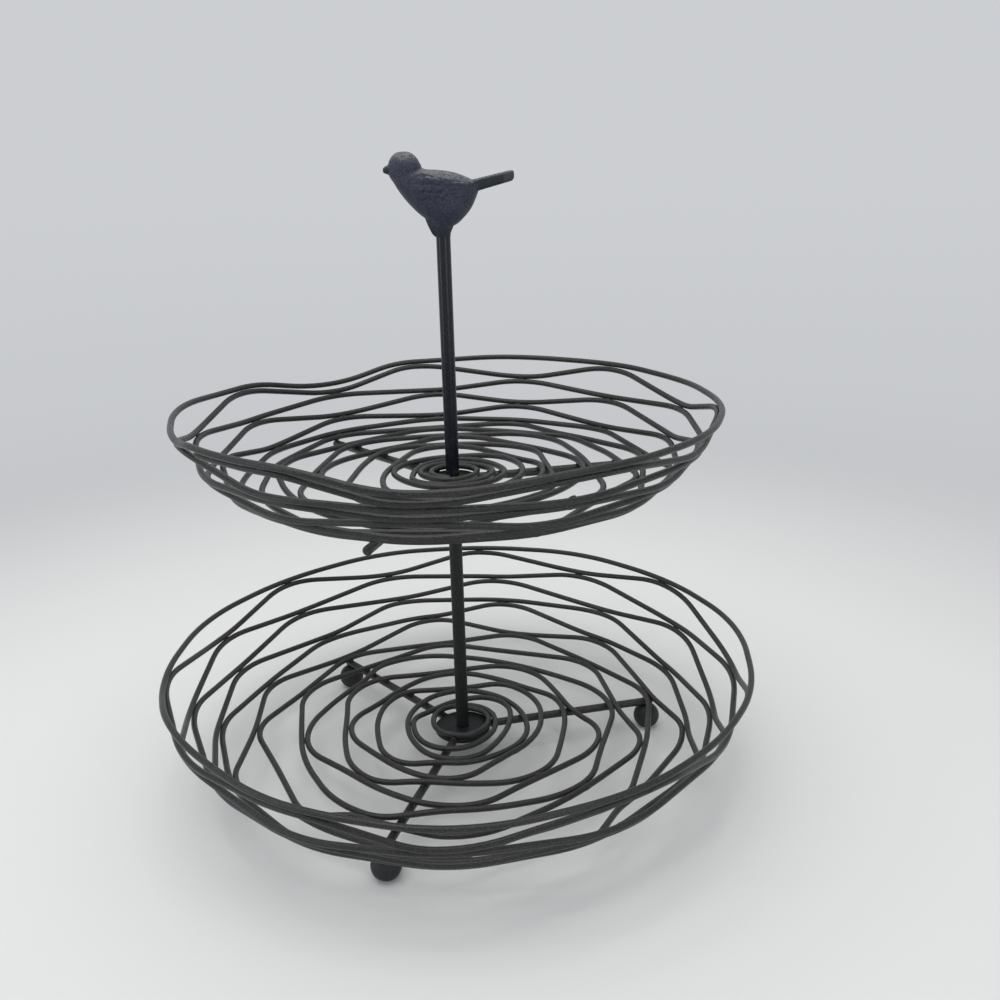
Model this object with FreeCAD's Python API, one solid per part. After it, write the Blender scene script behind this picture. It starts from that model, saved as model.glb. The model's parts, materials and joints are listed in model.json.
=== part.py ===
import FreeCAD, Part
import math
import os

Vector = FreeCAD.Vector
up = Vector(0, 0, 1)
full_turn = 360.0

# Stock and clearances, in millimetres
wire_diameter = 2.5
spoke_diameter = 3.5
post_diameter = 5.6
weld_gap = 0.1
joint_gap = 0.1
running_gap = 0.05
cut_overrun = 1.0

# Lower bowl, to the centre line of its wire
lower_rim_radius = 126.0
lower_floor_radius = 98.0
lower_wall_height = 36.8
lower_wall_bulge = 5.6
lower_spoke_inset = 6.0
lower_hub_radius = 12.4

# Upper bowl, to the centre line of its wire
upper_rim_radius = 109.0
upper_floor_radius = 86.0
upper_wall_height = 28.0
upper_wall_bulge = 2.5
upper_spoke_inset = -2.0
upper_hub_radius = 10.0

# Spokes, hubs and feet
spoke_count = 3
first_spoke_angle = 9.7
hub_thickness = 2.4
hub_chamfer = 0.4
foot_diameter = 12.0
foot_inset = 3.1
foot_flat_depth = 0.5
foot_saddle_depth = 0.6

# Posts and what screws them together
lower_post_length = 115.8
upper_post_length = 97.4
post_chamfer = 0.35
stud_diameter = 4.0
stud_grip = 10.0
stud_end_room = 1.0
screw_head_diameter = 7.6
screw_head_height = 2.6
screw_grip = 9.0
screw_slot_width = 1.0
screw_slot_depth = 1.2
washer_diameter = 10.0
washer_thickness = 0.8

# Bird finial, measured from the middle of its base
bird_body_length = 31.0
bird_body_width = 17.0
bird_body_depth = 14.0
bird_body_centre = Vector(-0.8, 0, 17.3)
bird_thigh_base_length = 10.0
bird_thigh_base_height = 4.0
bird_thigh_top_length = 29.6
bird_thigh_top_height = 16.4
bird_head_diameter = 11.6
bird_head_centre = Vector(-13.2, 0, 25.4)
bird_neck_diameter = 14.0
bird_neck_centre = Vector(-9.4, 0, 20.6)
bird_beak_root = Vector(-17.4, 0, 25.0)
bird_beak_tip = Vector(-22.2, 0, 24.6)
bird_beak_root_diameter = 4.2
bird_beak_tip_diameter = 1.0
bird_tail_root = Vector(8.0, 0, 18.0)
bird_tail_tip = Vector(28.0, 0, 21.3)
bird_tail_root_width = 9.0
bird_tail_root_depth = 5.6
bird_tail_tip_width = 6.4
bird_tail_tip_depth = 3.6
bird_leg_diameter = 5.0
bird_leg_spread = 3.2
bird_leg_height = 8.0
finial_pin_diameter = 3.0
finial_pin_grip = 7.0

# Places along a bowl from the middle, 0, through the edge of the floor to the rim, 1
lower_floor_share = 0.674
upper_floor_share = 0.702

# Welds of the lower bowl, a row for each turn from the rim inwards: angle in degrees, place along the bowl
lower_weld_shares = [
    [(-25, 0.987), (33, 0.987), (84, 0.987), (135, 0.987), (187, 0.987), (243, 0.990), (300, 0.987)],
    [(-4, 0.900), (57, 0.928), (108, 0.914), (158, 0.915), (211, 0.938), (265, 0.897)],
    [(-29, 0.868), (24, 0.865), (80, 0.878), (134, 0.866), (183, 0.850), (241, 0.860)],
    [(-62, 0.836), (-10, 0.782), (48, 0.813), (106, 0.816), (160, 0.802), (213, 0.800), (267, 0.783)],
    [(-30, 0.762), (18, 0.732), (77, 0.787), (130, 0.745), (182, 0.748), (237, 0.745)],
    [(-65, 0.722), (-10, 0.687), (45, 0.704), (98, 0.727), (157, 0.699), (206, 0.719), (265, 0.662)],
    [(-47, 0.627), (11, 0.615), (70, 0.631), (130, 0.617), (179, 0.637), (225, 0.621)],
    [(-19, 0.563), (38, 0.556), (98, 0.545), (154, 0.564), (239, 0.537)],
    [(-49, 0.502), (6, 0.485), (122, 0.492), (188, 0.487), (268, 0.450)],
    [(-20, 0.440), (58, 0.394), (144, 0.426), (224, 0.405)],
    [(-57, 0.379), (15, 0.333), (100, 0.325), (181, 0.354), (258, 0.324)],
    [(50, 0.274), (144, 0.284), (222, 0.296)],
    [(-50, 0.230), (94, 0.200), (262, 0.224)],
    [(40, 0.175), (180, 0.162)],
    [(130, 0.108)],
    [(20, 0.0908), (104, 0.0878)],
]

# Bends of the lower wire that touch no other turn, by turn
lower_bend_shares = {
    7: [(-72, 0.594), (204, 0.582), (266, 0.570)],
    8: [(70, 0.492)],
    11: [(-12, 0.319)],
    12: [(184, 0.265)],
    14: [(-17, 0.147), (235, 0.166)],
    15: [(200, 0.0895)],
    16: [(-80, 0.0825)],
}
lower_rim_shares = [(5, 1.0), (58, 1.0), (109, 1.0), (161, 1.0), (209, 1.024), (268, 0.985), (318, 1.0)]

# Welds of the upper bowl
upper_weld_shares = [
    [(-142, 1.02), (-124, 1.02), (-62, 0.99), (-7, 0.99), (44, 1.0), (99, 0.99), (151, 0.99), (205, 1.0)],
    [(-98, 0.917), (-32, 0.915), (13, 0.915), (69, 0.919), (123, 0.9), (178, 0.916), (234, 0.9), (292, 0.88)],
    [(-13, 0.872), (41, 0.869), (94, 0.861), (152, 0.864), (206, 0.859), (262, 0.855)],
    [(-38, 0.818), (9, 0.800), (69, 0.803), (124, 0.795), (176, 0.802), (232, 0.790), (289, 0.775)],
    [(-16, 0.757), (38, 0.740), (94, 0.741), (153, 0.734), (205, 0.738), (261, 0.740)],
    [(-42, 0.714), (13, 0.691), (69, 0.714), (128, 0.714), (236, 0.668), (290, 0.675)],
    [(-13, 0.632), (45, 0.620), (98, 0.634), (159, 0.630), (265, 0.601)],
    [(-38, 0.564), (58, 0.569), (129, 0.561), (210, 0.544)],
    [(5, 0.460), (90, 0.495), (170, 0.462), (252, 0.458)],
    [(-50, 0.410), (46, 0.397), (120, 0.398), (210, 0.384)],
    [(5, 0.319), (95, 0.354), (245, 0.311)],
    [(38, 0.254), (163, 0.214)],
    [(225, 0.169)],
    [(170, 0.120)],
    [(262, 0.084)],
]

# Bends of the upper wire that touch no other turn, by turn
upper_bend_shares = {
    5: [(179, 0.704)],
    6: [(203, 0.640)],
    7: [(12, 0.581)],
    8: [(-72, 0.507)],
    10: [(172, 0.330)],
    12: [(-30, 0.240), (100, 0.188)],
    13: [(-20, 0.180), (50, 0.158)],
    14: [(-10, 0.137), (60, 0.105)],
    15: [(-10, 0.083), (80, 0.074), (200, 0.073)],
}
upper_rim_shares = [(-96, 0.968), (-34, 1.0), (18, 1.003), (72, 1.012), (124, 0.944), (178, 1.018)]

# How much of the run between two places its bends take, from a short span in degrees to a long one
rim_bend_share = 0.85
tight_bend_share = 0.58
round_bend_share = 0.95
tight_bend_span = 30.0
round_bend_span = 60.0

# Where on the floor, as a share of its radius, the round inner turns give way to tight bends
round_turns_share = 0.62
tight_turns_share = 0.82

# Where one turn of wire ends and the next begins
turn_seam_angle = -90.0

# Places that follow from the sizes above
wire_radius = wire_diameter / 2
spoke_radius = spoke_diameter / 2
post_radius = post_diameter / 2
stud_radius = stud_diameter / 2
foot_radius = foot_diameter / 2
foot_centre_height = foot_radius - foot_flat_depth
wire_above_spoke = spoke_radius + joint_gap + wire_radius
lower_spoke_height = foot_diameter - foot_flat_depth - foot_saddle_depth + joint_gap + spoke_radius
lower_spoke_reach = lower_floor_radius - lower_spoke_inset
upper_spoke_reach = upper_floor_radius - upper_spoke_inset
foot_circle_radius = lower_spoke_reach - foot_inset
lower_hub_base = lower_spoke_height - hub_thickness / 2
lower_hub_top = lower_hub_base + hub_thickness
lower_post_top = lower_hub_top + lower_post_length
upper_hub_base = lower_post_top + running_gap
upper_hub_top = upper_hub_base + hub_thickness
upper_spoke_height = upper_hub_base + hub_thickness / 2
upper_post_base = upper_hub_top + running_gap
upper_post_top = upper_post_base + upper_post_length
washer_base = lower_hub_base - washer_thickness
stud_length = stud_grip + running_gap + hub_thickness + running_gap + stud_grip
stud_base = lower_post_top - stud_grip

lower_bowl = {
    "rim_radius": lower_rim_radius,
    "floor_radius": lower_floor_radius,
    "floor_share": lower_floor_share,
    "wall_height": lower_wall_height,
    "wall_bulge": lower_wall_bulge,
    "floor_height": lower_spoke_height + wire_above_spoke,
}
upper_bowl = {
    "rim_radius": upper_rim_radius,
    "floor_radius": upper_floor_radius,
    "floor_share": upper_floor_share,
    "wall_height": upper_wall_height,
    "wall_bulge": upper_wall_bulge,
    "floor_height": upper_spoke_height + wire_above_spoke,
}


def save(name, shape):
    if not shape.isValid():
        raise ValueError(name + " is not a valid shape")
    shape.exportStep("parts/" + name + ".step")


def direction(angle):
    turn = math.radians(angle)
    return Vector(math.cos(turn), math.sin(turn), 0)


def heading(angle):
    turn = math.radians(angle)
    return Vector(-math.sin(turn), math.cos(turn), 0)


def wall_curve(bowl):
    # the wall's section is an arc: its radius, its angle, and the slope at which it leaves the floor
    spread = bowl["rim_radius"] - bowl["floor_radius"]
    chord = math.hypot(spread, bowl["wall_height"])
    radius = (chord ** 2 / 4 + bowl["wall_bulge"] ** 2) / (2 * bowl["wall_bulge"])
    bend = 2 * math.asin(chord / 2 / radius)
    return radius, bend, math.atan2(bowl["wall_height"], spread) - bend / 2


def run_at(bowl, share):
    # distance from the middle out along the floor, and from its edge up the wall
    floor_share = bowl["floor_share"]
    if share < floor_share:
        return bowl["floor_radius"] * share / floor_share
    radius, bend, slope = wall_curve(bowl)
    return bowl["floor_radius"] + radius * bend * (share - floor_share) / (1 - floor_share)


def bowl_point(bowl, angle, run):
    floor = bowl["floor_radius"]
    radius, bend, slope = wall_curve(bowl)
    climb = max(run - floor, 0) / radius
    chord = 2 * radius * math.sin(climb / 2)
    reach = min(run, floor) + chord * math.cos(slope + climb / 2)
    height = bowl["floor_height"] + chord * math.sin(slope + climb / 2)
    return direction(angle) * reach + up * height


def rim_stops(bowl, weld_shares, rim_shares):
    # angle and run of each place that the rim hoop passes, once round
    weld_reach = (wire_diameter + weld_gap) / 2
    stops = [(angle, run_at(bowl, share)) for angle, share in rim_shares]
    stops += [(angle, run_at(bowl, share) + weld_reach) for angle, share in weld_shares[0]]
    stops.sort()
    first_angle, first_run = stops[0]
    return stops + [(first_angle + full_turn, first_run)]


def spiral_stops(bowl, weld_shares, bend_shares):
    # a weld is passed twice: on its outer side, and one turn later on its inner side
    weld_reach = (wire_diameter + weld_gap) / 2
    stops = []
    for turn, row in enumerate(weld_shares):
        for angle, share in row:
            if turn > 0:
                stops.append((angle + turn * full_turn, run_at(bowl, share) + weld_reach))
            stops.append((angle + (turn + 1) * full_turn, run_at(bowl, share) - weld_reach))
    for turn, row in bend_shares.items():
        for angle, share in row:
            stops.append((angle + turn * full_turn, run_at(bowl, share)))
    return sorted(stops)


def split_turns(stops):
    # each turn ends at the first stop of the next, so that the lengths of wire butt together
    turns = {}
    for stop in stops:
        turn = math.floor((stop[0] - turn_seam_angle) / full_turn)
        turns.setdefault(turn, []).append(stop)
    order = sorted(turns)
    for turn, following in zip(order, order[1:]):
        turns[turn].append(turns[following][0])
    return [turns[turn] for turn in order if len(turns[turn]) > 1]


def arc_to(start, corner, end):
    # the arc that leaves start towards corner and arrives at end
    middle = (start + end) * 0.5
    half_bend = (corner - start).getAngle(end - start)
    sag = (end - start).Length / 2 * math.tan(half_bend / 2)
    outward = (corner - middle).normalize()
    return Part.Arc(start, middle + outward * sag, end).toShape()


def turn_bend_share(bowl, run):
    rise = (run / bowl["floor_radius"] - round_turns_share) / (tight_turns_share - round_turns_share)
    return round_bend_share + (tight_bend_share - round_bend_share) * min(max(rise, 0), 1)


def bend_share(span, least_share):
    rise = (span - tight_bend_span) / (round_bend_span - tight_bend_span)
    return least_share + (round_bend_share - least_share) * min(max(rise, 0), 1)


def bent_run(start, start_heading, end, end_heading, share):
    # a straight run between two bends; at a share of 1 the two arcs would meet
    step = end - start
    headings = start_heading + end_heading
    along = step.dot(headings)
    spread = 2 * (1 - start_heading.dot(end_heading))
    reach = (math.sqrt(along ** 2 + spread * step.dot(step)) - along) / spread * share
    first_corner = start + start_heading * reach
    last_corner = end - end_heading * reach
    run = (last_corner - first_corner).normalize() * reach
    straight = Part.LineSegment(first_corner + run, last_corner - run).toShape()
    first_arc = arc_to(start, first_corner, first_corner + run)
    return [first_arc, straight, arc_to(last_corner - run, last_corner, end)]


def wire_along(bowl, stops, least_share=None):
    edges = []
    for (angle, run), (next_angle, next_run) in zip(stops, stops[1:]):
        start = bowl_point(bowl, angle, run)
        end = bowl_point(bowl, next_angle, next_run)
        share = bend_share(next_angle - angle, least_share or turn_bend_share(bowl, (run + next_run) / 2))
        edges += bent_run(start, heading(angle), end, heading(next_angle), share)
    angle, run = stops[0]
    section = Part.Wire(Part.makeCircle(wire_radius, bowl_point(bowl, angle, run), heading(angle)))
    return Part.Wire(edges).makePipeShell([section], True, False)


def make_bowl_wires(tier, bowl, weld_shares, bend_shares, rim_shares):
    stops = rim_stops(bowl, weld_shares, rim_shares)
    half = len(stops) // 2
    halves = [wire_along(bowl, part, rim_bend_share) for part in (stops[:half + 1], stops[half:])]
    save(tier + "_rim", halves[0].fuse(halves[1]))
    turns = split_turns(spiral_stops(bowl, weld_shares, bend_shares))
    for number, stops in enumerate(turns, 1):
        save(f"{tier}_turn_{number:02d}", wire_along(bowl, stops))


def rod(radius, length, base, axis=up):
    return Part.makeCylinder(radius, length, base, axis)


def chamfered(shape, size, wanted):
    edges = [edge for edge in shape.Edges if wanted(edge)]
    return shape.makeChamfer(size, edges)


def is_round(radius):
    def test(edge):
        return edge.Curve.TypeId == "Part::GeomCircle" and abs(edge.Curve.Radius - radius) < running_gap
    return test


def make_hub(tier, radius, base):
    disc = chamfered(rod(radius, hub_thickness, up * base), hub_chamfer, is_round(radius))
    hole_base = up * (base - cut_overrun)
    hole = rod(stud_radius + running_gap, hub_thickness + 2 * cut_overrun, hole_base)
    save(tier + "_hub", disc.cut(hole))


def make_spokes(tier, hub_radius, reach, height):
    for number in range(spoke_count):
        angle = first_spoke_angle + number * full_turn / spoke_count
        start = direction(angle) * (hub_radius + joint_gap) + up * height
        straight = reach - spoke_radius - hub_radius - joint_gap
        bar = rod(spoke_radius, straight, start, direction(angle))
        tip = Part.makeSphere(spoke_radius, direction(angle) * (reach - spoke_radius) + up * height)
        save(f"{tier}_spoke_{number + 1}", bar.fuse(tip).removeSplitter())


def make_feet():
    for number in range(spoke_count):
        angle = first_spoke_angle + number * full_turn / spoke_count
        middle = direction(angle) * foot_circle_radius
        ball = Part.makeSphere(foot_radius, middle + up * foot_centre_height)
        below = rod(foot_radius, foot_radius, middle - up * foot_radius)
        saddle_start = direction(angle) * (foot_circle_radius - foot_diameter) + up * lower_spoke_height
        saddle = rod(spoke_radius + joint_gap, 2 * foot_diameter, saddle_start, direction(angle))
        save(f"ball_foot_{number + 1}", ball.cut(below).cut(saddle))


def post(length, base, lower_hole_radius, lower_hole_depth, upper_hole_radius, upper_hole_depth):
    wall = post_radius - max(lower_hole_radius, upper_hole_radius)
    chamfer = min(post_chamfer, wall / 2)
    bar = chamfered(rod(post_radius, length, up * base), chamfer, is_round(post_radius))
    lower_hole = rod(lower_hole_radius, lower_hole_depth, up * base)
    upper_hole = rod(upper_hole_radius, upper_hole_depth, up * (base + length - upper_hole_depth))
    return bar.cut(lower_hole).cut(upper_hole)


def make_posts():
    stud_hole = stud_radius + running_gap
    pin_hole = finial_pin_diameter / 2 + running_gap
    stud_depth = stud_grip + stud_end_room
    screw_depth = screw_grip + stud_end_room
    pin_depth = finial_pin_grip + stud_end_room
    save("lower_post", post(lower_post_length, lower_hub_top, stud_hole, screw_depth, stud_hole, stud_depth))
    save("upper_post", post(upper_post_length, upper_post_base, stud_hole, stud_depth, pin_hole, pin_depth))


def make_fasteners():
    save("joining_stud", rod(stud_radius, stud_length, up * stud_base))
    washer = rod(washer_diameter / 2, washer_thickness, up * washer_base)
    save("base_washer", washer.cut(rod(stud_radius + running_gap, washer_thickness, up * washer_base)))
    head_base = washer_base - screw_head_height
    head = rod(screw_head_diameter / 2, screw_head_height, up * head_base)
    shank_length = washer_thickness + hub_thickness + screw_grip
    shank = rod(stud_radius, shank_length, up * washer_base)
    slot_corner = Vector(-screw_head_diameter / 2, -screw_slot_width / 2, head_base)
    slot = Part.makeBox(screw_head_diameter, screw_slot_width, screw_slot_depth, slot_corner)
    save("base_screw", head.cut(slot).fuse(shank))
    pin_base = up * (upper_post_top - finial_pin_grip)
    save("finial_pin", rod(finial_pin_diameter / 2, 2 * finial_pin_grip, pin_base))


def ellipsoid(length, width, depth, centre):
    size = FreeCAD.Matrix()
    size.scale(length / 2, width / 2, depth / 2)
    ball = Part.makeSphere(1).transformGeometry(size)
    ball.translate(centre)
    return ball


def bird_thighs():
    # a flattened cone from the legs up into the body
    height = bird_thigh_top_height - bird_thigh_base_height
    cone = Part.makeCone(bird_thigh_base_length / 2, bird_thigh_top_length / 2, height)
    flatten = FreeCAD.Matrix()
    flatten.scale(1, bird_body_width / bird_body_length, 1)
    cone = cone.transformGeometry(flatten)
    cone.translate(Vector(bird_body_centre.x, 0, bird_thigh_base_height))
    return cone


def bird_tail():
    # a flat bar that narrows to its tip
    sections = []
    for middle, width, depth in (
        (bird_tail_root, bird_tail_root_width, bird_tail_root_depth),
        (bird_tail_tip, bird_tail_tip_width, bird_tail_tip_depth),
    ):
        corners = []
        for side, rise in ((-1, -1), (1, -1), (1, 1), (-1, 1), (-1, -1)):
            corners.append(middle + Vector(0, side * width / 2, rise * depth / 2))
        sections.append(Part.makePolygon(corners))
    return Part.makeLoft(sections, True, True)


def bird_beak():
    reach = bird_beak_tip - bird_beak_root
    root = bird_beak_root_diameter / 2
    return Part.makeCone(root, bird_beak_tip_diameter / 2, reach.Length, bird_beak_root, reach)


def make_bird():
    body = ellipsoid(bird_body_length, bird_body_width, bird_body_depth, bird_body_centre)
    head = Part.makeSphere(bird_head_diameter / 2, bird_head_centre)
    neck = Part.makeSphere(bird_neck_diameter / 2, bird_neck_centre)
    bird = body.fuse([bird_thighs(), head, neck, bird_beak(), bird_tail()])
    for side in (-1, 1):
        leg_base = Vector(0, side * bird_leg_spread / 2, 0)
        bird = bird.fuse(rod(bird_leg_diameter / 2, bird_leg_height, leg_base))
    pin_room = finial_pin_grip + stud_end_room
    bird = bird.cut(rod(finial_pin_diameter / 2 + running_gap, pin_room, Vector(0, 0, 0)))
    bird.translate(up * upper_post_top)
    save("bird_finial", bird)


os.makedirs("parts", exist_ok=True)
make_bowl_wires("lower", lower_bowl, lower_weld_shares, lower_bend_shares, lower_rim_shares)
make_bowl_wires("upper", upper_bowl, upper_weld_shares, upper_bend_shares, upper_rim_shares)
make_hub("lower", lower_hub_radius, lower_hub_base)
make_hub("upper", upper_hub_radius, upper_hub_base)
make_spokes("lower", lower_hub_radius, lower_spoke_reach, lower_spoke_height)
make_spokes("upper", upper_hub_radius, upper_spoke_reach, upper_spoke_height)
make_feet()
make_posts()
make_fasteners()
make_bird()
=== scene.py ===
import bpy
import json
import math
import random
from mathutils import Matrix, Vector
from mathutils.bvhtree import BVHTree


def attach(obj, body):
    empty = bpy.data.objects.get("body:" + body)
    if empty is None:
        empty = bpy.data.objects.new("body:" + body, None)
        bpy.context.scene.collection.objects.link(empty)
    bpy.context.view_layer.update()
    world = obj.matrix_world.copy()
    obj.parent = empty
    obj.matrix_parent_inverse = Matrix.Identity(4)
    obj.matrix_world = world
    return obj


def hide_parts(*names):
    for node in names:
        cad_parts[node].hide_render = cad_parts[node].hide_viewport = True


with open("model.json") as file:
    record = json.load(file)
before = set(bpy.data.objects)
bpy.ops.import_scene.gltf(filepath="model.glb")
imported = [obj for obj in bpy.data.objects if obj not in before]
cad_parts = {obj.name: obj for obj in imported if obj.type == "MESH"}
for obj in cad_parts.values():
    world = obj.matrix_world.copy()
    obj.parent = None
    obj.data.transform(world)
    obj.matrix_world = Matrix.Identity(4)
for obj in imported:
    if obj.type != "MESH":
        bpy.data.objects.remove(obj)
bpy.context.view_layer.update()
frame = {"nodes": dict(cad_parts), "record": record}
nodes = frame["nodes"]
scene = bpy.context.scene
scene.view_settings.view_transform = "Standard"
mm = 0.001
print("frame loaded:", len(nodes), "nodes")


def deselectAll():
    if bpy.context.object and bpy.context.object.mode != "OBJECT":
        bpy.ops.object.mode_set(mode="OBJECT")
    bpy.ops.object.select_all(action="DESELECT")


def pick(piece):
    deselectAll()
    piece.select_set(True)
    bpy.context.view_layer.objects.active = piece
    return piece


def settle(piece):  # its place goes into its mesh
    pick(piece)
    bpy.ops.object.transform_apply(location=True, rotation=True, scale=True)
    return piece


def applyAll(piece):
    pick(piece)
    for modifier in list(piece.modifiers):
        bpy.ops.object.modifier_apply(modifier=modifier.name)
    return piece


def joinPieces(pieces, name):
    deselectAll()
    for piece in pieces:
        piece.select_set(True)
    bpy.context.view_layer.objects.active = pieces[0]
    bpy.ops.object.join()
    pieces[0].name = name
    pieces[0].data.name = name
    return pieces[0]


def selectCorners(piece, wanted):  # leaves the piece in edit mode with those corners selected
    bpy.ops.object.mode_set(mode="EDIT")
    bpy.ops.mesh.select_all(action="DESELECT")
    bpy.ops.object.mode_set(mode="OBJECT")
    for vertex in piece.data.vertices:
        vertex.select = wanted(vertex.co)
    bpy.ops.object.mode_set(mode="EDIT")


# camera at the photo's view: place in metres, turns in degrees, lens and sensor in millimetres
photoView = {
    "place": (0, -0.39523, 0.24941), "pan": 2.83, "tilt": 18.0, "roll": 1.41,
    "lens": 35.37, "sensor": 36, "nearest": 0.01,
}


def addCamera():
    bpy.ops.object.camera_add()
    camera = bpy.context.object
    camera.name = "photoCamera"
    camera.data.sensor_width = photoView["sensor"]
    camera.data.lens = photoView["lens"]
    camera.data.clip_start = photoView["nearest"]
    camera.data.dof.use_dof = False
    turn = Matrix.Rotation(-math.radians(photoView["pan"]), 4, "Z")
    turn = turn @ Matrix.Rotation(math.radians(90 - photoView["tilt"]), 4, "X")
    turn = turn @ Matrix.Rotation(-math.radians(photoView["roll"]), 4, "Z")
    camera.matrix_world = Matrix.Translation(photoView["place"]) @ turn
    scene.camera = camera


deselectAll()
addCamera()
print("camera placed")


# pale floor that fades into a plain pale grey all round, soft light from above and from both sides
studio = {
    "floorSize": 60.0,
    "floorTint": (0.755, 0.757, 0.745),
    "floorRough": 0.85,
    "floorGloss": 0.1,
    "fadeStart": 0.20,
    "fadeEnd": 0.62,
    "greyNear": (0.455, 0.468, 0.480),
    "greyFar": (0.605, 0.620, 0.640),
    "skyLight": (0.62, 0.63, 0.65),
    "overhead": {
        "place": (-0.15, -0.1, 1.25), "width": 1.1, "height": 1.1, "power": 7.7, "aim": 0.1,
        "tint": (1.0, 0.99, 0.965),
    },
    "leftStrip": {
        "place": (-1.11, -0.45, 0.42), "width": 0.24, "height": 1.0, "power": 2.2, "aim": 0.42,
        "tint": (0.80, 0.91, 1.0),
    },
    "rightStrip": {
        "place": (0.69, -1.10, 0.42), "width": 0.20, "height": 1.0, "power": 2.2, "aim": 0.42,
        "tint": (0.80, 0.91, 1.0),
    },
}

# sockets of a Mix node that mixes colours
colorMix = {"amount": 0, "first": 6, "second": 7, "result": 2}


def addNode(tree, kind, place, **values):
    node = tree.nodes.new(kind)
    node.location = place
    for key, value in values.items():
        setattr(node, key, value)
    return node


def addColorMix(tree, place, amount, first, second):
    # each colour is a fixed tint or another node's output
    mix = addNode(tree, "ShaderNodeMix", place, data_type="RGBA")
    tree.links.new(amount, mix.inputs[colorMix["amount"]])
    for name, color in (("first", first), ("second", second)):
        socket = mix.inputs[colorMix[name]]
        if isinstance(color, tuple):
            socket.default_value = (*color, 1)
        else:
            tree.links.new(color, socket)
    return mix.outputs[colorMix["result"]]


def addRange(tree, place, value, start, end, kind="LINEAR"):
    ramp = addNode(tree, "ShaderNodeMapRange", place, interpolation_type=kind)
    ramp.inputs["From Min"].default_value = start
    ramp.inputs["From Max"].default_value = end
    tree.links.new(value, ramp.inputs["Value"])
    return ramp


def newMaterial(name):
    material = bpy.data.materials.new(name)
    material.use_nodes = True
    return material, material.node_tree, material.node_tree.nodes["Principled BSDF"]


def addSoftbox(name, setup):
    bpy.ops.object.light_add(type="AREA", location=setup["place"])
    lamp = bpy.context.object
    lamp.name = name
    lamp.visible_camera = False
    lamp.data.shape = "RECTANGLE"
    lamp.data.size = setup["width"]
    lamp.data.size_y = setup["height"]
    lamp.data.energy = setup["power"]
    lamp.data.color = setup["tint"]
    aim = Vector((0, 0, setup["aim"])) - Vector(setup["place"])
    lamp.rotation_euler = aim.to_track_quat("-Z", "Y").to_euler()


def addShownRays(tree, place):
    # one where the view, a gloss or a clear body meets the surface, nought where only light falls on it
    x, y = place
    ray = addNode(tree, "ShaderNodeLightPath", (x, y))
    direct = addNode(tree, "ShaderNodeMath", (x + 200, y), operation="MAXIMUM")
    shown = addNode(tree, "ShaderNodeMath", (x + 400, y), operation="MAXIMUM")
    tree.links.new(ray.outputs["Is Camera Ray"], direct.inputs[0])
    tree.links.new(ray.outputs["Is Glossy Ray"], direct.inputs[1])
    tree.links.new(direct.outputs[0], shown.inputs[0])
    tree.links.new(ray.outputs["Is Transmission Ray"], shown.inputs[1])
    return shown.outputs[0]


def buildFloor():
    bpy.ops.mesh.primitive_plane_add(size=studio["floorSize"])
    floor = bpy.context.object
    floor.name = "paleFloor"
    material, tree, shader = newMaterial("palePaper")
    links = tree.links
    shader.inputs["Base Color"].default_value = (*studio["floorTint"], 1)
    shader.inputs["Roughness"].default_value = studio["floorRough"]
    shader.inputs["Specular IOR Level"].default_value = studio["floorGloss"]
    place = addNode(tree, "ShaderNodeTexCoord", (-1100, -300))
    radius = addNode(tree, "ShaderNodeVectorMath", (-900, -300), operation="LENGTH")
    links.new(place.outputs["Object"], radius.inputs[0])
    distance = radius.outputs["Value"]
    fade = addRange(tree, (-700, -200), distance, studio["fadeStart"], studio["fadeEnd"], "SMOOTHSTEP")
    nearness = addNode(tree, "ShaderNodeMath", (-700, -500), operation="DIVIDE", use_clamp=True)
    nearness.inputs[0].default_value = studio["fadeStart"]
    links.new(distance, nearness.inputs[1])
    grey = addColorMix(tree, (-500, -500), nearness.outputs[0], studio["greyFar"], studio["greyNear"])
    glow = addNode(tree, "ShaderNodeEmission", (-100, -500))
    links.new(grey, glow.inputs["Color"])
    amount = addNode(tree, "ShaderNodeMath", (-100, -200), operation="MULTIPLY")
    links.new(fade.outputs["Result"], amount.inputs[0])
    links.new(addShownRays(tree, (-700, 300)), amount.inputs[1])
    blend = addNode(tree, "ShaderNodeMixShader", (300, 0))
    links.new(amount.outputs[0], blend.inputs[0])
    links.new(shader.outputs[0], blend.inputs[1])
    links.new(glow.outputs[0], blend.inputs[2])
    links.new(blend.outputs[0], tree.nodes["Material Output"].inputs["Surface"])
    floor.data.materials.append(material)


def buildWorld():
    world = bpy.data.worlds.new("paleRoom")
    world.use_nodes = True
    tree = world.node_tree
    shown = addShownRays(tree, (-900, 200))
    sky = addColorMix(tree, (-200, 0), shown, studio["skyLight"], studio["greyFar"])
    tree.links.new(sky, tree.nodes["Background"].inputs["Color"])
    scene.world = world


buildFloor()
buildWorld()
addSoftbox("overheadSoftbox", studio["overhead"])
addSoftbox("leftStripSoftbox", studio["leftStrip"])
addSoftbox("rightStripSoftbox", studio["rightStrip"])
print("studio ready")


# powder coat shared by the finishes: light specks in a cloudy ground, with pits in its relief
sandyCoat = {
    "grainDetail": 3, "grainRough": 0.65, "cloudDetail": 4,
    "speckFrom": 0.5, "speckFull": 0.72, "cloudFrom": 0.35, "cloudFull": 0.7,
    "cloudShare": 0.45, "roughSpread": 0.18, "pitShare": 0.5,
}


def newGroup(name, inputs, outputs):
    group = bpy.data.node_groups.new(name, "ShaderNodeTree")
    for way, sockets in (("INPUT", inputs), ("OUTPUT", outputs)):
        for label, kind in sockets:
            group.interface.new_socket(label, in_out=way, socket_type=kind)
    start = addNode(group, "NodeGroupInput", (-1200, 0))
    end = addNode(group, "NodeGroupOutput", (600, 0))
    return group, start, end


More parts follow.
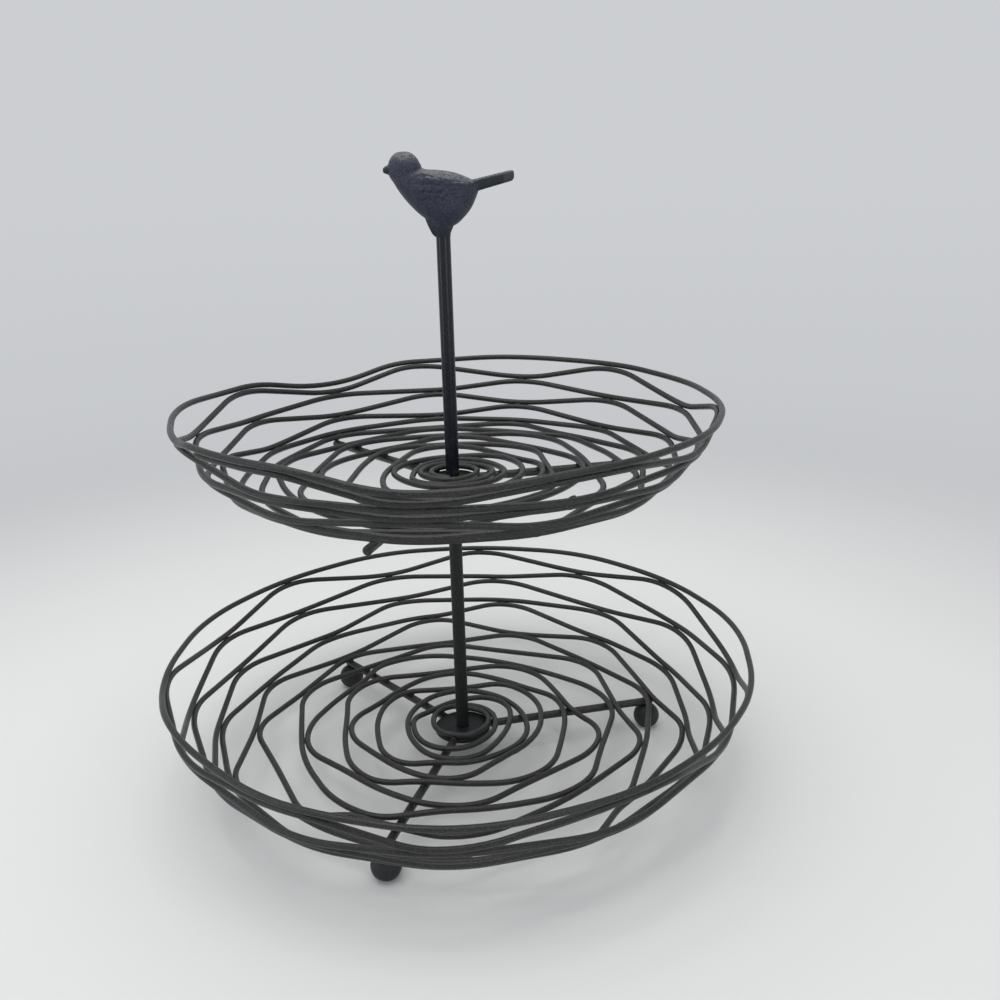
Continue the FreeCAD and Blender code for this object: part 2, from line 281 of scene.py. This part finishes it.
def buildCoatGroup():
    number, tint = "NodeSocketFloat", "NodeSocketColor"
    group, start, end = newGroup(
        "sandyCoat",
        [("Grain Scale", number), ("Cloud Scale", number), ("Base", tint), ("Light", tint), ("Dark", tint),
         ("Rough", number)],
        [("Color", tint), ("Roughness", number), ("Height", number)],
    )
    links = group.links
    place = addNode(group, "ShaderNodeTexCoord", (-1200, 300))
    grain = addNode(group, "ShaderNodeTexNoise", (-900, 300))
    grain.inputs["Detail"].default_value = sandyCoat["grainDetail"]
    grain.inputs["Roughness"].default_value = sandyCoat["grainRough"]
    cloud = addNode(group, "ShaderNodeTexNoise", (-900, 0))
    cloud.inputs["Detail"].default_value = sandyCoat["cloudDetail"]
    pits = addNode(group, "ShaderNodeTexVoronoi", (-900, -300))
    for texture, scaleName in ((grain, "Grain Scale"), (cloud, "Cloud Scale"), (pits, "Grain Scale")):
        links.new(place.outputs["Object"], texture.inputs["Vector"])
        links.new(start.outputs[scaleName], texture.inputs["Scale"])
    grainHeight, cloudHeight = grain.outputs["Fac"], cloud.outputs["Fac"]
    speck = addRange(group, (-650, 300), grainHeight, sandyCoat["speckFrom"], sandyCoat["speckFull"])
    shade = addRange(group, (-650, 0), cloudHeight, sandyCoat["cloudFrom"], sandyCoat["cloudFull"])
    part = addNode(group, "ShaderNodeMath", (-450, 0), operation="MULTIPLY")
    part.inputs[1].default_value = sandyCoat["cloudShare"]
    links.new(shade.outputs["Result"], part.inputs[0])
    ground = addColorMix(group, (-250, 0), part.outputs[0], start.outputs["Base"], start.outputs["Dark"])
    color = addColorMix(group, (0, 100), speck.outputs["Result"], ground, start.outputs["Light"])
    links.new(color, end.inputs["Color"])
    spread = addNode(group, "ShaderNodeMath", (-250, -250), operation="MULTIPLY_ADD")
    spread.inputs[1].default_value = sandyCoat["roughSpread"]
    links.new(cloudHeight, spread.inputs[0])
    links.new(start.outputs["Rough"], spread.inputs[2])
    links.new(spread.outputs[0], end.inputs["Roughness"])
    relief = addNode(group, "ShaderNodeMath", (0, -250), operation="MULTIPLY_ADD")
    relief.inputs[1].default_value = sandyCoat["pitShare"]
    links.new(pits.outputs["Distance"], relief.inputs[0])
    links.new(grainHeight, relief.inputs[2])
    links.new(relief.outputs[0], end.inputs["Height"])
    return group


coatGroup = buildCoatGroup()

# one finish for each material slot
finishes = {
    "coated_wire": {
        "name": "charcoalPowderCoat", "base": (0.0118, 0.0117, 0.0112), "light": (0.070, 0.069, 0.065),
        "dark": (0.0060, 0.0060, 0.0058), "grain": 2400, "cloud": 70, "rough": 0.25, "bump": 0.45,
        "depth": 0.00018, "gloss": 0.4,
    },
    "hub_coat": {
        "name": "hubPowderCoat", "base": (0.0108, 0.0117, 0.0145), "light": (0.029, 0.031, 0.036),
        "dark": (0.0055, 0.0060, 0.0077), "grain": 1500, "cloud": 110, "rough": 0.38, "bump": 0.35,
        "depth": 0.0001, "gloss": 0.17,
    },
    "foot_coat": {
        "name": "footBlackPaint", "base": (0.0135, 0.014, 0.0145), "light": (0.03, 0.031, 0.033),
        "dark": (0.008, 0.008, 0.009), "grain": 1300, "cloud": 120, "rough": 0.5, "bump": 0.3,
        "depth": 0.0001, "gloss": 0.4,
    },
    "lower_post_coat": {
        "name": "lowerPostPowderCoat", "base": (0.0105, 0.0108, 0.0108), "light": (0.033, 0.033, 0.032),
        "dark": (0.006, 0.006, 0.0064), "grain": 1500, "cloud": 60, "rough": 0.4, "bump": 0.35,
        "depth": 0.0001, "gloss": 0.3,
    },
    "upper_post_coat": {
        "name": "upperPostSemiGloss", "base": (0.0040, 0.0056, 0.0110), "light": (0.012, 0.015, 0.023),
        "dark": (0.0024, 0.0034, 0.0070), "grain": 900, "cloud": 60, "rough": 0.17, "bump": 0.03,
        "depth": 0.0001, "gloss": 0.38,
    },
    "cast_bird": {
        "name": "castIronBird", "base": (0.0275, 0.0310, 0.0530), "light": (0.088, 0.094, 0.124),
        "dark": (0.0120, 0.0135, 0.0260), "grain": 2000, "cloud": 200, "rough": 0.38, "bump": 0.7,
        "depth": 0.0002, "gloss": 0.3,
        # lighter specks on whatever faces up: rubbed, dusty paint and in part a painted highlight
        "wornTopsAndHighlight": {
            "tint": (0.205, 0.210, 0.200), "grain": 1300, "detail": 4, "rough": 0.7,
            "facingFrom": 0.30, "facingFull": 0.95, "speckFrom": 0.40, "speckFull": 0.60,
        },
        "zones": [  # colour that differs over the casting: axis, full from, none at, tint, amount
            ("X", -20.4, -19.7, (0.0135, 0.0155, 0.0135), 0.85),  # dark beak
            ("X", 15.0, 12.8, (0.0120, 0.0150, 0.0175), 0.80),  # dark tail
            ("X", 24.2, 23.4, (0.0600, 0.0540, 0.0510), 0.65),  # worn tail end
            ("Z", 230.0, 234.6, (0.0070, 0.0090, 0.0155), 0.85),  # darker towards the bottom of the casting, below the belly
        ],
    },
    "fastener_steel": {
        "name": "zincPlate", "base": (0.36, 0.36, 0.37), "light": (0.5, 0.5, 0.5),
        "dark": (0.24, 0.24, 0.25), "grain": 1200, "cloud": 200, "rough": 0.28, "bump": 0.15,
        "depth": 0.00006, "gloss": 0.5, "metal": 1.0,
    },
}


def addToneZones(tree, color, zones):
    place = addNode(tree, "ShaderNodeTexCoord", (-1300, 1300))
    parts = addNode(tree, "ShaderNodeSeparateXYZ", (-1100, 1300))
    tree.links.new(place.outputs["Object"], parts.inputs[0])
    for index, (axis, full, none, tint, amount) in enumerate(zones):
        x = -900 + 200 * index
        low, high = min(full, none) * mm, max(full, none) * mm
        mask = addRange(tree, (x, 1300), parts.outputs[axis], low, high, "SMOOTHSTEP")
        mask.inputs["To Min"].default_value = amount if full < none else 0.0
        mask.inputs["To Max"].default_value = 0.0 if full < none else amount
        color = addColorMix(tree, (x, 1100), mask.outputs["Result"], color, tint)
    return color


def addWornTopsAndPaintedHighlight(tree, color, wearAndHighlight):
    # paint rubbed thin and dusty on whatever faces up, in specks, partly real wear and dust and partly a
    # painted highlight on the tops
    place = addNode(tree, "ShaderNodeTexCoord", (-1300, 600))
    parts = addNode(tree, "ShaderNodeSeparateXYZ", (-1100, 600))
    tree.links.new(place.outputs["Normal"], parts.inputs[0])
    up = parts.outputs["Z"]
    facing = addRange(tree, (-900, 600), up, wearAndHighlight["facingFrom"], wearAndHighlight["facingFull"], "SMOOTHSTEP")
    specks = addNode(tree, "ShaderNodeTexNoise", (-1100, 900))
    specks.inputs["Scale"].default_value = wearAndHighlight["grain"]
    specks.inputs["Detail"].default_value = wearAndHighlight["detail"]
    specks.inputs["Roughness"].default_value = wearAndHighlight["rough"]
    tree.links.new(place.outputs["Object"], specks.inputs["Vector"])
    patch = addRange(tree, (-900, 900), specks.outputs["Fac"], wearAndHighlight["speckFrom"], wearAndHighlight["speckFull"])
    amount = addNode(tree, "ShaderNodeMath", (-600, 700), operation="MULTIPLY")
    tree.links.new(facing.outputs["Result"], amount.inputs[0])
    tree.links.new(patch.outputs["Result"], amount.inputs[1])
    return addColorMix(tree, (-300, 500), amount.outputs[0], color, wearAndHighlight["tint"])


def buildFinish(setup):
    material, tree, shader = newMaterial(setup["name"])
    coat = addNode(tree, "ShaderNodeGroup", (-600, 100), node_tree=coatGroup)
    coat.inputs["Grain Scale"].default_value = setup["grain"]
    coat.inputs["Cloud Scale"].default_value = setup["cloud"]
    coat.inputs["Base"].default_value = (*setup["base"], 1)
    coat.inputs["Light"].default_value = (*setup["light"], 1)
    coat.inputs["Dark"].default_value = (*setup["dark"], 1)
    coat.inputs["Rough"].default_value = setup["rough"]
    bump = addNode(tree, "ShaderNodeBump", (-300, -200))
    bump.inputs["Strength"].default_value = setup["bump"]
    bump.inputs["Distance"].default_value = setup["depth"]
    color = coat.outputs["Color"]
    if "zones" in setup:
        color = addToneZones(tree, color, setup["zones"])
    # worn, dusty tops that also stand as a painted highlight
    if "wornTopsAndHighlight" in setup:
        color = addWornTopsAndPaintedHighlight(tree, color, setup["wornTopsAndHighlight"])
    tree.links.new(color, shader.inputs["Base Color"])
    tree.links.new(coat.outputs["Roughness"], shader.inputs["Roughness"])
    tree.links.new(coat.outputs["Height"], bump.inputs["Height"])
    tree.links.new(bump.outputs["Normal"], shader.inputs["Normal"])
    shader.inputs["Metallic"].default_value = setup.get("metal", 0.0)
    shader.inputs["Specular IOR Level"].default_value = setup["gloss"]
    return material


materials = {slot: buildFinish(setup) for slot, setup in finishes.items()}
slotOfNode = {part["node"]: part["material_slot"] for part in frame["record"]["subparts"]}
for name, piece in nodes.items():
    for socket in piece.material_slots:
        socket.material = materials[slotOfNode[name]]
print("finishes on the frame:", len(materials))


# weld beads wherever two turns of wire touch, and tacks where they cross a spoke
weld = {
    "touch": 0.25 * mm, "buttEnd": 0.5, "spacing": 9 * mm, "sample": 0.6 * mm, "seed": 11,
    "together": 1.5 * mm, "alike": 0.02 * mm, "stretch": 4 * mm, "pointContact": 0.8 * mm,
    "mostTurn": 0.7, "segments": 8, "rings": 6, "endsFrom": 0.6, "endsDrawn": 0.7,
    "leastSwell": 0.85, "mostSwell": 1.15,
    "wire": {"along": 2.2 * mm, "across": 0.55 * mm, "thick": 0.72 * mm},
    "spoke": {"along": 1.4 * mm, "across": 0.7 * mm, "thick": 1.1 * mm},
}


def surfaceOf(piece):
    mesh = piece.data
    mesh.calc_loop_triangles()
    corners = [vertex.co.copy() for vertex in mesh.vertices]
    return BVHTree.FromPolygons(corners, [tuple(t.vertices) for t in mesh.loop_triangles])


def pointsOn(piece):
    # every corner of the mesh, and points along the long edges of its straight runs
    mesh = piece.data
    points = [vertex.co.copy() for vertex in mesh.vertices]
    for edge in mesh.edges:
        start, end = (mesh.vertices[i].co for i in edge.vertices)
        steps = int((end - start).length / weld["sample"])
        points += [start.lerp(end, step / steps) for step in range(1, steps)]
    return points


def roundTheAxis(centre):
    return Vector((-centre.y, centre.x, 0))


def outFromAxis(centre):
    return Vector((centre.x, centre.y, 0))


def contactRun(centre, spots):
    # the way the contact runs, or round the axis where it is too short or too steep to tell
    run = max((spot - centre for spot in spots), key=lambda step: step.length)
    ring = roundTheAxis(centre).normalized()
    if run.length < weld["pointContact"] or abs(run.normalized().dot(ring)) < weld["mostTurn"]:
        return ring
    return run


def touchingPlaces(points, tree):
    # middle of each stretch within the touch distance, the way from wire to wire, and the way it runs
    near = []
    for point in points:
        place, normal, index, gap = tree.find_nearest(point, weld["touch"])
        if place is None:
            continue
        if abs(normal.dot(roundTheAxis(place).normalized())) < weld["buttEnd"]:
            near.append((gap, (point + place) / 2, normal))
    near.sort(key=lambda item: item[0])
    places = []
    for gap, middle, normal in near:
        if all((middle - other).length > weld["spacing"] for other, way, run in places):
            group = [spot for space, spot, way in near
                     if (spot - middle).length < weld["together"] and space < gap + weld["alike"]]
            centre = sum(group, Vector()) / len(group)
            stretch = [spot for space, spot, way in near if (spot - centre).length < weld["stretch"]]
            places.append((centre, normal, contactRun(centre, stretch)))
    return places


def modelBead(name, size):
    bpy.ops.mesh.primitive_uv_sphere_add(
        segments=weld["segments"], ring_count=weld["rings"], radius=1, rotation=(0, math.pi / 2, 0)
    )
    bead = settle(bpy.context.object)
    bead.name = name
    selectCorners(bead, lambda place: abs(place.x) > weld["endsFrom"])
    drawn = (1, weld["endsDrawn"], weld["endsDrawn"])  # feathered ends
    bpy.ops.transform.resize(value=drawn, center_override=(0, 0, 0))
    bpy.ops.mesh.select_all(action="SELECT")
    full = (size["along"], size["across"], size["thick"])
    bpy.ops.transform.resize(value=full, center_override=(0, 0, 0))
    bpy.ops.object.mode_set(mode="OBJECT")
    bpy.ops.object.shade_smooth()
    return bead


def layBeads(bead, places, chance):
    copies = []
    for centre, way, run in places:
        across = way.normalized()
        run = (run - across * run.dot(across)).normalized()
        turn = Matrix((run, across, run.cross(across))).transposed().to_4x4()
        swell = [chance.uniform(weld["leastSwell"], weld["mostSwell"]) for axis in range(3)]
        copy = bead.copy()
        copy.data = bead.data.copy()
        scene.collection.objects.link(copy)
        copy.data.transform(Matrix.Translation(centre) @ turn @ Matrix.Diagonal((*swell, 1)))
        copies.append(copy)
    return copies


def addWelds(tier, body):
    chance = random.Random(weld["seed"])
    turns = [tier + "_rim"] + sorted(name for name in nodes if name.startswith(tier + "_turn_"))
    spokes = sorted(name for name in nodes if name.startswith(tier + "_spoke_"))
    points = {name: pointsOn(nodes[name]) for name in turns}
    wirePlaces = []
    for outer, inner in zip(turns, turns[1:]):
        wirePlaces += touchingPlaces(points[outer], surfaceOf(nodes[inner]))
    spokePlaces = []
    for spoke in spokes:
        tree = surfaceOf(nodes[spoke])
        for turn in turns:
            places = touchingPlaces(points[turn], tree)
            spokePlaces += [(centre, way, outFromAxis(centre)) for centre, way, run in places]
    wireBead = modelBead(tier + "WireBead", weld["wire"])
    spokeBead = modelBead(tier + "SpokeBead", weld["spoke"])
    copies = layBeads(wireBead, wirePlaces, chance)
    copies += layBeads(spokeBead, spokePlaces, chance)
    bpy.data.objects.remove(wireBead)
    bpy.data.objects.remove(spokeBead)
    beads = joinPieces(copies, tier + "Welds")
    beads.data.materials.clear()
    beads.data.materials.append(materials["coated_wire"])
    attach(beads, body)
    print(tier, "welds:", len(wirePlaces), "between wires,", len(spokePlaces), "on spokes")


addWelds("lower", "stand")
addWelds("upper", "upper_basket")


# cast bird on top of the post, in millimetres: lofted pieces run together and softened as in a sand mould
bird = {
    "segments": 36, "between": 3,
    "body": [  # along, top, bottom, half width
        (-19.6, 254.6, 252.4, 1.4), (-18.4, 256.6, 250.1, 3.0), (-16.6, 257.6, 247.0, 4.8),
        (-14.2, 258.2, 243.6, 6.0), (-11.6, 257.8, 240.6, 6.9), (-9.4, 256.4, 238.4, 7.5),
        (-7.6, 255.2, 236.9, 7.9), (-6.5, 254.5, 236.1, 8.1), (-5.2, 254.2, 235.3, 8.3),
        (-2.0, 254.0, 233.7, 8.4), (2.0, 253.55, 233.0, 8.2), (5.1, 252.9, 233.6, 7.6),
        (8.2, 251.8, 236.1, 6.6), (11.1, 250.55, 239.4, 5.2), (13.0, 249.7, 243.0, 3.6),
        (14.0, 249.3, 245.4, 2.4),
    ],
    "head": [
        (-20.0, 255.6, 253.0, 1.3), (-19.3, 257.6, 251.4, 3.0), (-18.2, 259.2, 249.8, 4.4),
        (-16.6, 260.4, 248.4, 5.5), (-14.2, 260.75, 247.8, 6.2), (-11.6, 260.5, 248.0, 6.2),
        (-9.4, 259.05, 249.2, 5.3), (-8.2, 257.3, 250.6, 4.0), (-7.3, 255.6, 252.0, 2.2),
    ],
    "beak": [
        (-18.6, 256.4, 252.2, 2.1), (-20.2, 256.0, 252.6, 1.8), (-21.3, 255.4, 253.0, 1.35),
        (-21.9, 254.9, 253.4, 0.8),
    ],
    "wing": [  # along, top, bottom, half thickness, out from the middle
        (-12.2, 249.8, 247.6, 0.5, 5.6), (-11.0, 251.8, 244.4, 1.1, 6.4),
        (-9.0, 252.9, 242.6, 1.4, 7.0), (-6.5, 253.1, 242.3, 1.5, 7.45),
        (-4.0, 252.4, 242.4, 1.5, 7.6), (-1.0, 251.6, 242.6, 1.5, 7.55),
        (3.0, 250.8, 242.0, 1.45, 7.3), (6.0, 250.2, 241.2, 1.35, 6.6),
        (8.6, 249.6, 242.3, 1.2, 5.6), (10.8, 248.9, 244.2, 0.95, 4.6), (12.2, 248.4, 246.2, 0.5, 3.6),
    ],
    "wingLean": 9, "wingMiddle": 247.5, "wingEdge": 0.05,
    "feathers": [  # start along, start up, end along, end up, half height
        (-11.2, 250.0, -6.6, 249.9, 1.5), (-8.2, 250.3, -3.4, 249.9, 1.4),
        (-5.0, 249.9, -0.4, 249.4, 1.3), (-11.2, 247.6, -6.8, 247.2, 1.5),
        (-8.2, 247.4, -3.6, 247.1, 1.5), (-5.0, 247.2, 0.2, 247.0, 1.4),
        (-10.0, 245.2, -5.4, 244.8, 1.4), (-7.0, 244.7, -2.2, 244.5, 1.4),
        (-3.6, 244.4, 1.4, 244.4, 1.2), (-1.2, 249.2, 10.4, 248.0, 0.95),
        (-0.6, 247.4, 10.9, 246.9, 0.95), (0.2, 245.7, 10.6, 245.9, 0.95),
        (1.0, 244.0, 9.4, 244.8, 0.9),
    ],
    "featherShape": [  # share of the length, of the height, of how far it stands proud
        (0.0, 0.5, -0.5), (0.3, 0.85, 0.2), (0.55, 1.0, 0.55), (0.75, 1.0, 0.85),
        (0.88, 0.85, 1.0), (0.96, 0.55, 1.0), (1.0, 0.25, 0.9),
    ],
    "featherThick": 0.75, "featherProud": 0.75,
    "tail": {
        "start": 8.5, "end": 27.9, "rootTop": 249.4, "rootBottom": 244.5, "tipTop": 253.45,
        "tipBottom": 249.5, "rootWidth": 7.6, "tipWidth": 6.3, "round": 1.3, "roundSteps": 4,
    },
    "column": [  # up, along, half length, half width
        (229.1, 0, 2.95, 2.95), (230.6, 0, 2.9, 2.9), (232.0, -0.1, 3.0, 3.1),
        (233.4, -0.2, 3.5, 3.8), (235.0, -0.3, 4.4, 5.0), (237.5, -0.4, 5.6, 6.6),
    ],
    "web": [
        (229.15, -0.1, 2.9, 1.6), (230.2, -0.65, 3.5, 1.5), (231.4, -0.7, 4.1, 1.5),
        (233.0, -0.75, 4.85, 1.55), (235.0, -0.7, 5.7, 1.6), (237.2, -0.7, 6.4, 1.8),
        (239.5, -0.6, 7.0, 2.4),
    ],
    "eye": {"along": -15.0, "up": 256.4, "out": 5.15, "radius": 0.7, "fineness": 3},
    "voxel": 0.25, "soften": 5, "softness": 0.5, "castGrain": 0.10, "sandSize": 0.7, "sandDepth": 2,
}


def smoothLine(stations):
    # more stations between those given, on a smooth curve through them
    line = []
    last = len(stations) - 1
    for index in range(last):
        near = [stations[min(max(index + step, 0), last)] for step in (-1, 0, 1, 2)]
        before, start, end, after = (Vector(station) for station in near)
        for part in range(bird["between"]):
            t = part / bird["between"]
            square = (2 * before - 5 * start + 4 * end - after) * t ** 2
            cube = (3 * start - before - 3 * end + after) * t ** 3
            line.append(tuple(start + ((end - before) * t + (square + cube)) / 2))
    return line + [stations[last]]


def loftRings(name, rings, upright=False):
    # one ring drawn out from station to station, each given as centre and two half sizes
    lying = (0, math.pi / 2, 0)
    bpy.ops.mesh.primitive_circle_add(
        vertices=bird["segments"], radius=1, rotation=(0, 0, 0) if upright else lying
    )
    piece = settle(bpy.context.object)
    piece.name = name
    bpy.ops.object.mode_set(mode="EDIT")
    bpy.ops.mesh.select_all(action="SELECT")
    here, size = Vector(), (1, 1, 1)
    for index, (centre, half) in enumerate(rings):
        centre = Vector(centre) * mm
        if index:
            bpy.ops.mesh.extrude_region_move(TRANSFORM_OT_translate={"value": centre - here})
        else:
            bpy.ops.transform.translate(value=centre - here)
        newSize = (half[0] * mm, half[1] * mm, 1) if upright else (1, half[0] * mm, half[1] * mm)
        ratio = [new / old for new, old in zip(newSize, size)]
        bpy.ops.transform.resize(value=ratio, center_override=centre)
        here, size = centre, newSize
    bpy.ops.mesh.select_all(action="DESELECT")
    bpy.ops.mesh.select_non_manifold()
    bpy.ops.mesh.fill_holes(sides=0)
    bpy.ops.mesh.select_all(action="SELECT")
    bpy.ops.mesh.normals_make_consistent(inside=False)
    bpy.ops.object.mode_set(mode="OBJECT")
    return piece


def sideRing(along, top, bottom, half, out=0):
    return (along, out, (top + bottom) / 2), (half, (top - bottom) / 2)


def leanIn(piece, side, centre):
    pick(piece)
    bpy.ops.object.mode_set(mode="EDIT")
    bpy.ops.mesh.select_all(action="SELECT")
    lean = side * math.radians(bird["wingLean"])
    bpy.ops.transform.rotate(value=lean, orient_axis="X", center_override=Vector(centre) * mm)
    bpy.ops.object.mode_set(mode="OBJECT")
    return piece


def wingSkin(along, up):
    # how far out the wing's face stands at a place on it
    for start, end in zip(bird["wing"], bird["wing"][1:]):
        if along <= end[0]:
            break
    share = (along - start[0]) / (end[0] - start[0])
    top, bottom, half, out = (a + (b - a) * share for a, b in zip(start[1:], end[1:]))
    rise = (2 * up - top - bottom) / (top - bottom)
    lean = math.tan(math.radians(bird["wingLean"])) * (up - bird["wingMiddle"])
    return out + half * math.sqrt(max(bird["wingEdge"], 1 - rise ** 2)) + lean


def modelFeather(side, startAlong, startUp, endAlong, endUp, halfHigh):
    thick = bird["featherThick"]
    rings = []
    for share, full, proud in bird["featherShape"]:
        along = startAlong + (endAlong - startAlong) * share
        up = startUp + (endUp - startUp) * share
        out = wingSkin(along, up) + bird["featherProud"] * proud - thick
        rings.append(((along, side * out, up), (thick, halfHigh * full)))
    (along, out, up), sizes = rings[len(rings) // 2]
    return leanIn(loftRings("feather", rings), side, (0, out, up))


def modelWing(side):
    rings = [sideRing(*sizes, side * out) for *sizes, out in smoothLine(bird["wing"])]
    middle = max(out for *sizes, out in bird["wing"])
    wing = leanIn(loftRings("wing", rings), side, (0, side * middle, bird["wingMiddle"]))
    return [wing] + [modelFeather(side, *feather) for feather in bird["feathers"]]


def modelTail():
    # a cube of side 1, each end face of which is brought to its size and place
    tail = bird["tail"]
    bpy.ops.mesh.primitive_cube_add(size=1)
    piece = bpy.context.object
    piece.name = "tail"
    ends = {
        -0.5: (tail["start"], tail["rootTop"], tail["rootBottom"], tail["rootWidth"]),
        0.5: (tail["end"], tail["tipTop"], tail["tipBottom"], tail["tipWidth"]),
    }
    for face, (along, top, bottom, width) in ends.items():
        selectCorners(piece, lambda place: math.isclose(place.x, face))
        size = (1, width * mm, (top - bottom) * mm)
        bpy.ops.transform.resize(value=size, center_override=(face, 0, 0))
        bpy.ops.transform.translate(value=(along * mm - face, 0, (top + bottom) / 2 * mm))
    bpy.ops.mesh.select_all(action="SELECT")
    bpy.ops.mesh.bevel(offset=tail["round"] * mm, segments=tail["roundSteps"], profile=0.5)
    bpy.ops.mesh.normals_make_consistent(inside=False)
    bpy.ops.object.mode_set(mode="OBJECT")
    return piece


def modelEye(side):
    eye = bird["eye"]
    place = (eye["along"] * mm, side * eye["out"] * mm, eye["up"] * mm)
    bpy.ops.mesh.primitive_ico_sphere_add(
        subdivisions=eye["fineness"], radius=eye["radius"] * mm, location=place
    )
    return settle(bpy.context.object)


def modelBird():
    pieces = []
    for name in ("body", "head", "beak"):
        rings = [sideRing(*station) for station in smoothLine(bird[name])]
        pieces.append(loftRings(name, rings))
    pieces.append(modelTail())
    for side in (-1, 1):
        pieces += modelWing(side) + [modelEye(side)]
    for name in ("column", "web"):
        rings = [((along, 0, up), (halfLong, halfWide)) for up, along, halfLong, halfWide in bird[name]]
        pieces.append(loftRings(name, rings, upright=True))
    casting = joinPieces(pieces, "castBird")
    remesh = casting.modifiers.new("oneCasting", "REMESH")
    remesh.mode = "VOXEL"
    remesh.voxel_size = bird["voxel"] * mm
    soften = casting.modifiers.new("mouldSoftness", "SMOOTH")
    soften.factor = bird["softness"]
    soften.iterations = bird["soften"]
    sand = bpy.data.textures.new("mouldSand", "CLOUDS")
    sand.noise_scale = bird["sandSize"] * mm
    sand.noise_depth = bird["sandDepth"]
    rough = casting.modifiers.new("sandGrain", "DISPLACE")
    rough.texture = sand
    rough.texture_coords = "LOCAL"
    rough.strength = bird["castGrain"] * mm
    applyAll(casting)
    bpy.ops.object.shade_smooth()
    return casting


castBird = modelBird()
castBird.data.materials.clear()
castBird.data.materials.append(materials["cast_bird"])
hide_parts("bird_finial")
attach(castBird, "handle")
print("bird cast:", len(castBird.data.polygons), "faces")
